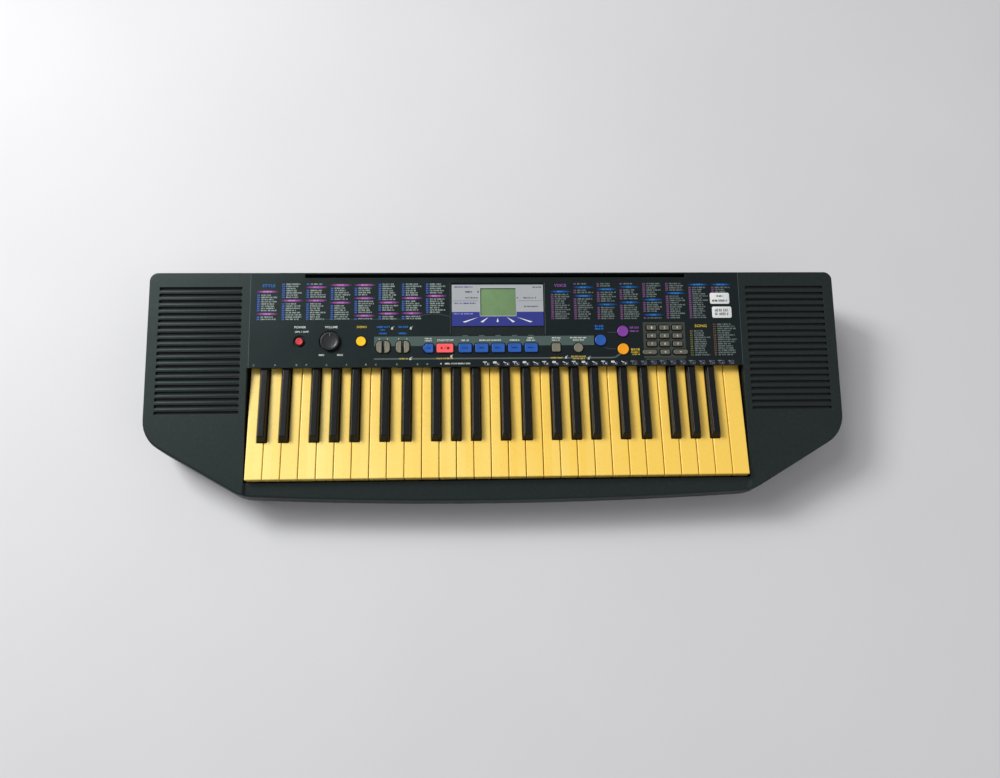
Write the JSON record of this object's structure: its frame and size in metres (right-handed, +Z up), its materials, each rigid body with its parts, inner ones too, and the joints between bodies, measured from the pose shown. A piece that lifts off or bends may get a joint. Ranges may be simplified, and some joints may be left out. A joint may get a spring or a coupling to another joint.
{
  "type": "portable keyboard",
  "caption": "Portable electronic keyboard with full-size keys, a sloping control panel with display and buttons, and a loudspeaker pod at each end.",
  "frame": {"origin": "centre of the footprint, on the surface that the feet stand on", "axes": "+X to the player's right along the keys, +Y away from the player, +Z up"},
  "size_m": [0.96, 0.315, 0.1043],
  "materials": {
    "case": "fine-grained moulded plastic, dark grey",
    "base": "plain moulded plastic, dark grey",
    "frame": "unpainted moulded plastic",
    "board": "lacquered circuit board",
    "speaker": "paper cone, steel basket and magnet, stated as plastic",
    "knob": "smooth moulded plastic, near black",
    "power": "smooth moulded plastic, red",
    "pad": "silicone rubber, taupe",
    "buttons": "smooth moulded plastic, mostly blue",
    "white_keys": "polished moulded plastic, yellowed white",
    "black_keys": "polished moulded plastic, black"
  },
  "bodies": {
    "case": {"upper_case": "case", "lower_case": "base", "key_frame": "frame", "display_board": "board", "speaker_left": "speaker", "speaker_right": "speaker"},
    "battery_door": {"battery_door": "base"},
    "volume_knob": {"volume_knob": "knob"},
    "power_button": {"power_button": "power"},
    "number_pad": {"number_pad": "pad"},
    "panel_buttons": {"panel_buttons": "buttons"},
    "white_key_c2": {"white_key_c2": "white_keys"},
    "white_key_d2": {"white_key_d2": "white_keys"},
    "white_key_e2": {"white_key_e2": "white_keys"},
    "white_key_f2": {"white_key_f2": "white_keys"},
    "white_key_g2": {"white_key_g2": "white_keys"},
    "white_key_a2": {"white_key_a2": "white_keys"},
    "white_key_b2": {"white_key_b2": "white_keys"},
    "white_key_c3": {"white_key_c3": "white_keys"},
    "white_key_d3": {"white_key_d3": "white_keys"},
    "white_key_e3": {"white_key_e3": "white_keys"},
    "white_key_f3": {"white_key_f3": "white_keys"},
    "white_key_g3": {"white_key_g3": "white_keys"},
    "white_key_a3": {"white_key_a3": "white_keys"},
    "white_key_b3": {"white_key_b3": "white_keys"},
    "white_key_c4": {"white_key_c4": "white_keys"},
    "white_key_d4": {"white_key_d4": "white_keys"},
    "white_key_e4": {"white_key_e4": "white_keys"},
    "white_key_f4": {"white_key_f4": "white_keys"},
    "white_key_g4": {"white_key_g4": "white_keys"},
    "white_key_a4": {"white_key_a4": "white_keys"},
    "white_key_b4": {"white_key_b4": "white_keys"},
    "white_key_c5": {"white_key_c5": "white_keys"},
    "white_key_d5": {"white_key_d5": "white_keys"},
    "white_key_e5": {"white_key_e5": "white_keys"},
    "white_key_f5": {"white_key_f5": "white_keys"},
    "white_key_g5": {"white_key_g5": "white_keys"},
    "white_key_a5": {"white_key_a5": "white_keys"},
    "white_key_b5": {"white_key_b5": "white_keys"},
    "white_key_c6": {"white_key_c6": "white_keys"},
    "black_key_cs2": {"black_key_cs2": "black_keys"},
    "black_key_ds2": {"black_key_ds2": "black_keys"},
    "black_key_fs2": {"black_key_fs2": "black_keys"},
    "black_key_gs2": {"black_key_gs2": "black_keys"},
    "black_key_as2": {"black_key_as2": "black_keys"},
    "black_key_cs3": {"black_key_cs3": "black_keys"},
    "black_key_ds3": {"black_key_ds3": "black_keys"},
    "black_key_fs3": {"black_key_fs3": "black_keys"},
    "black_key_gs3": {"black_key_gs3": "black_keys"},
    "black_key_as3": {"black_key_as3": "black_keys"},
    "black_key_cs4": {"black_key_cs4": "black_keys"},
    "black_key_ds4": {"black_key_ds4": "black_keys"},
    "black_key_fs4": {"black_key_fs4": "black_keys"},
    "black_key_gs4": {"black_key_gs4": "black_keys"},
    "black_key_as4": {"black_key_as4": "black_keys"},
    "black_key_cs5": {"black_key_cs5": "black_keys"},
    "black_key_ds5": {"black_key_ds5": "black_keys"},
    "black_key_fs5": {"black_key_fs5": "black_keys"},
    "black_key_gs5": {"black_key_gs5": "black_keys"},
    "black_key_as5": {"black_key_as5": "black_keys"}
  },
  "joints": [
    {"name": "white_key_c2_hinge", "type": "hinge", "parent": "case", "child": "white_key_c2", "pos_m": [-0.329, 0.0785, 0.062], "axis": [1, 0, 0], "range_deg": [0, 2.76], "stiffness_Nm_per_rad": 1, "springref_deg": -7.16},
    {"name": "white_key_d2_hinge", "type": "hinge", "parent": "case", "child": "white_key_d2", "pos_m": [-0.3055, 0.0785, 0.062], "axis": [1, 0, 0], "range_deg": [0, 2.76], "stiffness_Nm_per_rad": 1, "springref_deg": -7.16},
    {"name": "white_key_e2_hinge", "type": "hinge", "parent": "case", "child": "white_key_e2", "pos_m": [-0.282, 0.0785, 0.062], "axis": [1, 0, 0], "range_deg": [0, 2.76], "stiffness_Nm_per_rad": 1, "springref_deg": -7.16},
    {"name": "white_key_f2_hinge", "type": "hinge", "parent": "case", "child": "white_key_f2", "pos_m": [-0.2585, 0.0785, 0.062], "axis": [1, 0, 0], "range_deg": [0, 2.76], "stiffness_Nm_per_rad": 1, "springref_deg": -7.16},
    {"name": "white_key_g2_hinge", "type": "hinge", "parent": "case", "child": "white_key_g2", "pos_m": [-0.235, 0.0785, 0.062], "axis": [1, 0, 0], "range_deg": [0, 2.76], "stiffness_Nm_per_rad": 1, "springref_deg": -7.16},
    {"name": "white_key_a2_hinge", "type": "hinge", "parent": "case", "child": "white_key_a2", "pos_m": [-0.2115, 0.0785, 0.062], "axis": [1, 0, 0], "range_deg": [0, 2.76], "stiffness_Nm_per_rad": 1, "springref_deg": -7.16},
    {"name": "white_key_b2_hinge", "type": "hinge", "parent": "case", "child": "white_key_b2", "pos_m": [-0.188, 0.0785, 0.062], "axis": [1, 0, 0], "range_deg": [0, 2.76], "stiffness_Nm_per_rad": 1, "springref_deg": -7.16},
    {"name": "white_key_c3_hinge", "type": "hinge", "parent": "case", "child": "white_key_c3", "pos_m": [-0.1645, 0.0785, 0.062], "axis": [1, 0, 0], "range_deg": [0, 2.76], "stiffness_Nm_per_rad": 1, "springref_deg": -7.16},
    {"name": "white_key_d3_hinge", "type": "hinge", "parent": "case", "child": "white_key_d3", "pos_m": [-0.141, 0.0785, 0.062], "axis": [1, 0, 0], "range_deg": [0, 2.76], "stiffness_Nm_per_rad": 1, "springref_deg": -7.16},
    {"name": "white_key_e3_hinge", "type": "hinge", "parent": "case", "child": "white_key_e3", "pos_m": [-0.1175, 0.0785, 0.062], "axis": [1, 0, 0], "range_deg": [0, 2.76], "stiffness_Nm_per_rad": 1, "springref_deg": -7.16},
    {"name": "white_key_f3_hinge", "type": "hinge", "parent": "case", "child": "white_key_f3", "pos_m": [-0.094, 0.0785, 0.062], "axis": [1, 0, 0], "range_deg": [0, 2.76], "stiffness_Nm_per_rad": 1, "springref_deg": -7.16},
    {"name": "white_key_g3_hinge", "type": "hinge", "parent": "case", "child": "white_key_g3", "pos_m": [-0.0705, 0.0785, 0.062], "axis": [1, 0, 0], "range_deg": [0, 2.76], "stiffness_Nm_per_rad": 1, "springref_deg": -7.16},
    {"name": "white_key_a3_hinge", "type": "hinge", "parent": "case", "child": "white_key_a3", "pos_m": [-0.047, 0.0785, 0.062], "axis": [1, 0, 0], "range_deg": [0, 2.76], "stiffness_Nm_per_rad": 1, "springref_deg": -7.16},
    {"name": "white_key_b3_hinge", "type": "hinge", "parent": "case", "child": "white_key_b3", "pos_m": [-0.0235, 0.0785, 0.062], "axis": [1, 0, 0], "range_deg": [0, 2.76], "stiffness_Nm_per_rad": 1, "springref_deg": -7.16},
    {"name": "white_key_c4_hinge", "type": "hinge", "parent": "case", "child": "white_key_c4", "pos_m": [0, 0.0785, 0.062], "axis": [1, 0, 0], "range_deg": [0, 2.76], "stiffness_Nm_per_rad": 1, "springref_deg": -7.16},
    {"name": "white_key_d4_hinge", "type": "hinge", "parent": "case", "child": "white_key_d4", "pos_m": [0.0235, 0.0785, 0.062], "axis": [1, 0, 0], "range_deg": [0, 2.76], "stiffness_Nm_per_rad": 1, "springref_deg": -7.16},
    {"name": "white_key_e4_hinge", "type": "hinge", "parent": "case", "child": "white_key_e4", "pos_m": [0.047, 0.0785, 0.062], "axis": [1, 0, 0], "range_deg": [0, 2.76], "stiffness_Nm_per_rad": 1, "springref_deg": -7.16},
    {"name": "white_key_f4_hinge", "type": "hinge", "parent": "case", "child": "white_key_f4", "pos_m": [0.0705, 0.0785, 0.062], "axis": [1, 0, 0], "range_deg": [0, 2.76], "stiffness_Nm_per_rad": 1, "springref_deg": -7.16},
    {"name": "white_key_g4_hinge", "type": "hinge", "parent": "case", "child": "white_key_g4", "pos_m": [0.094, 0.0785, 0.062], "axis": [1, 0, 0], "range_deg": [0, 2.76], "stiffness_Nm_per_rad": 1, "springref_deg": -7.16},
    {"name": "white_key_a4_hinge", "type": "hinge", "parent": "case", "child": "white_key_a4", "pos_m": [0.1175, 0.0785, 0.062], "axis": [1, 0, 0], "range_deg": [0, 2.76], "stiffness_Nm_per_rad": 1, "springref_deg": -7.16},
    {"name": "white_key_b4_hinge", "type": "hinge", "parent": "case", "child": "white_key_b4", "pos_m": [0.141, 0.0785, 0.062], "axis": [1, 0, 0], "range_deg": [0, 2.76], "stiffness_Nm_per_rad": 1, "springref_deg": -7.16},
    {"name": "white_key_c5_hinge", "type": "hinge", "parent": "case", "child": "white_key_c5", "pos_m": [0.1645, 0.0785, 0.062], "axis": [1, 0, 0], "range_deg": [0, 2.76], "stiffness_Nm_per_rad": 1, "springref_deg": -7.16},
    {"name": "white_key_d5_hinge", "type": "hinge", "parent": "case", "child": "white_key_d5", "pos_m": [0.188, 0.0785, 0.062], "axis": [1, 0, 0], "range_deg": [0, 2.76], "stiffness_Nm_per_rad": 1, "springref_deg": -7.16},
    {"name": "white_key_e5_hinge", "type": "hinge", "parent": "case", "child": "white_key_e5", "pos_m": [0.2115, 0.0785, 0.062], "axis": [1, 0, 0], "range_deg": [0, 2.76], "stiffness_Nm_per_rad": 1, "springref_deg": -7.16},
    {"name": "white_key_f5_hinge", "type": "hinge", "parent": "case", "child": "white_key_f5", "pos_m": [0.235, 0.0785, 0.062], "axis": [1, 0, 0], "range_deg": [0, 2.76], "stiffness_Nm_per_rad": 1, "springref_deg": -7.16},
    {"name": "white_key_g5_hinge", "type": "hinge", "parent": "case", "child": "white_key_g5", "pos_m": [0.2585, 0.0785, 0.062], "axis": [1, 0, 0], "range_deg": [0, 2.76], "stiffness_Nm_per_rad": 1, "springref_deg": -7.16},
    {"name": "white_key_a5_hinge", "type": "hinge", "parent": "case", "child": "white_key_a5", "pos_m": [0.282, 0.0785, 0.062], "axis": [1, 0, 0], "range_deg": [0, 2.76], "stiffness_Nm_per_rad": 1, "springref_deg": -7.16},
    {"name": "white_key_b5_hinge", "type": "hinge", "parent": "case", "child": "white_key_b5", "pos_m": [0.3055, 0.0785, 0.062], "axis": [1, 0, 0], "range_deg": [0, 2.76], "stiffness_Nm_per_rad": 1, "springref_deg": -7.16},
    {"name": "white_key_c6_hinge", "type": "hinge", "parent": "case", "child": "white_key_c6", "pos_m": [0.329, 0.0785, 0.062], "axis": [1, 0, 0], "range_deg": [0, 2.76], "stiffness_Nm_per_rad": 1, "springref_deg": -7.16},
    {"name": "black_key_cs2_hinge", "type": "hinge", "parent": "case", "child": "black_key_cs2", "pos_m": [-0.32005, 0.0785, 0.062], "axis": [1, 0, 0], "range_deg": [0, 2.76], "stiffness_Nm_per_rad": 1, "springref_deg": -7.16},
    {"name": "black_key_ds2_hinge", "type": "hinge", "parent": "case", "child": "black_key_ds2", "pos_m": [-0.29085, 0.0785, 0.062], "axis": [1, 0, 0], "range_deg": [0, 2.76], "stiffness_Nm_per_rad": 1, "springref_deg": -7.16},
    {"name": "black_key_fs2_hinge", "type": "hinge", "parent": "case", "child": "black_key_fs2", "pos_m": [-0.25035, 0.0785, 0.062], "axis": [1, 0, 0], "range_deg": [0, 2.76], "stiffness_Nm_per_rad": 1, "springref_deg": -7.16},
    {"name": "black_key_gs2_hinge", "type": "hinge", "parent": "case", "child": "black_key_gs2", "pos_m": [-0.22325, 0.0785, 0.062], "axis": [1, 0, 0], "range_deg": [0, 2.76], "stiffness_Nm_per_rad": 1, "springref_deg": -7.16},
    {"name": "black_key_as2_hinge", "type": "hinge", "parent": "case", "child": "black_key_as2", "pos_m": [-0.19615, 0.0785, 0.062], "axis": [1, 0, 0], "range_deg": [0, 2.76], "stiffness_Nm_per_rad": 1, "springref_deg": -7.16},
    {"name": "black_key_cs3_hinge", "type": "hinge", "parent": "case", "child": "black_key_cs3", "pos_m": [-0.15555, 0.0785, 0.062], "axis": [1, 0, 0], "range_deg": [0, 2.76], "stiffness_Nm_per_rad": 1, "springref_deg": -7.16},
    {"name": "black_key_ds3_hinge", "type": "hinge", "parent": "case", "child": "black_key_ds3", "pos_m": [-0.12635, 0.0785, 0.062], "axis": [1, 0, 0], "range_deg": [0, 2.76], "stiffness_Nm_per_rad": 1, "springref_deg": -7.16},
    {"name": "black_key_fs3_hinge", "type": "hinge", "parent": "case", "child": "black_key_fs3", "pos_m": [-0.08585, 0.0785, 0.062], "axis": [1, 0, 0], "range_deg": [0, 2.76], "stiffness_Nm_per_rad": 1, "springref_deg": -7.16},
    {"name": "black_key_gs3_hinge", "type": "hinge", "parent": "case", "child": "black_key_gs3", "pos_m": [-0.05875, 0.0785, 0.062], "axis": [1, 0, 0], "range_deg": [0, 2.76], "stiffness_Nm_per_rad": 1, "springref_deg": -7.16},
    {"name": "black_key_as3_hinge", "type": "hinge", "parent": "case", "child": "black_key_as3", "pos_m": [-0.03165, 0.0785, 0.062], "axis": [1, 0, 0], "range_deg": [0, 2.76], "stiffness_Nm_per_rad": 1, "springref_deg": -7.16},
    {"name": "black_key_cs4_hinge", "type": "hinge", "parent": "case", "child": "black_key_cs4", "pos_m": [0.00895, 0.0785, 0.062], "axis": [1, 0, 0], "range_deg": [0, 2.76], "stiffness_Nm_per_rad": 1, "springref_deg": -7.16},
    {"name": "black_key_ds4_hinge", "type": "hinge", "parent": "case", "child": "black_key_ds4", "pos_m": [0.03815, 0.0785, 0.062], "axis": [1, 0, 0], "range_deg": [0, 2.76], "stiffness_Nm_per_rad": 1, "springref_deg": -7.16},
    {"name": "black_key_fs4_hinge", "type": "hinge", "parent": "case", "child": "black_key_fs4", "pos_m": [0.07865, 0.0785, 0.062], "axis": [1, 0, 0], "range_deg": [0, 2.76], "stiffness_Nm_per_rad": 1, "springref_deg": -7.16},
    {"name": "black_key_gs4_hinge", "type": "hinge", "parent": "case", "child": "black_key_gs4", "pos_m": [0.10575, 0.0785, 0.062], "axis": [1, 0, 0], "range_deg": [0, 2.76], "stiffness_Nm_per_rad": 1, "springref_deg": -7.16},
    {"name": "black_key_as4_hinge", "type": "hinge", "parent": "case", "child": "black_key_as4", "pos_m": [0.13285, 0.0785, 0.062], "axis": [1, 0, 0], "range_deg": [0, 2.76], "stiffness_Nm_per_rad": 1, "springref_deg": -7.16},
    {"name": "black_key_cs5_hinge", "type": "hinge", "parent": "case", "child": "black_key_cs5", "pos_m": [0.17345, 0.0785, 0.062], "axis": [1, 0, 0], "range_deg": [0, 2.76], "stiffness_Nm_per_rad": 1, "springref_deg": -7.16},
    {"name": "black_key_ds5_hinge", "type": "hinge", "parent": "case", "child": "black_key_ds5", "pos_m": [0.20265, 0.0785, 0.062], "axis": [1, 0, 0], "range_deg": [0, 2.76], "stiffness_Nm_per_rad": 1, "springref_deg": -7.16},
    {"name": "black_key_fs5_hinge", "type": "hinge", "parent": "case", "child": "black_key_fs5", "pos_m": [0.24315, 0.0785, 0.062], "axis": [1, 0, 0], "range_deg": [0, 2.76], "stiffness_Nm_per_rad": 1, "springref_deg": -7.16},
    {"name": "black_key_gs5_hinge", "type": "hinge", "parent": "case", "child": "black_key_gs5", "pos_m": [0.27025, 0.0785, 0.062], "axis": [1, 0, 0], "range_deg": [0, 2.76], "stiffness_Nm_per_rad": 1, "springref_deg": -7.16},
    {"name": "black_key_as5_hinge", "type": "hinge", "parent": "case", "child": "black_key_as5", "pos_m": [0.29735, 0.0785, 0.062], "axis": [1, 0, 0], "range_deg": [0, 2.76], "stiffness_Nm_per_rad": 1, "springref_deg": -7.16},
    {"name": "panel_buttons_press", "type": "slide", "parent": "case", "child": "panel_buttons", "axis": [0, 0.1357, -0.9907], "range_m": [0, 0.0015], "stiffness_N_per_m": 600, "springref_m": -0.002},
    {"name": "number_pad_press", "type": "slide", "parent": "case", "child": "number_pad", "axis": [0, 0.1357, -0.9907], "range_m": [0, 0.0012], "stiffness_N_per_m": 600, "springref_m": -0.002},
    {"name": "power_button_press", "type": "slide", "parent": "case", "child": "power_button", "axis": [0, 0.1357, -0.9907], "range_m": [0, 0.002], "stiffness_N_per_m": 500, "springref_m": -0.002},
    {"name": "volume_turn", "type": "hinge", "parent": "case", "child": "volume_knob", "pos_m": [-0.2312, 0.05927, 0.0912], "axis": [0, 0.1357, -0.9907], "range_deg": [-145, 145]},
    {"name": "battery_door_hinge", "type": "hinge", "parent": "case", "child": "battery_door", "pos_m": [0, 0.0985, 0.004], "axis": [-1, 0, 0], "range_deg": [0, 90]}
  ]
}
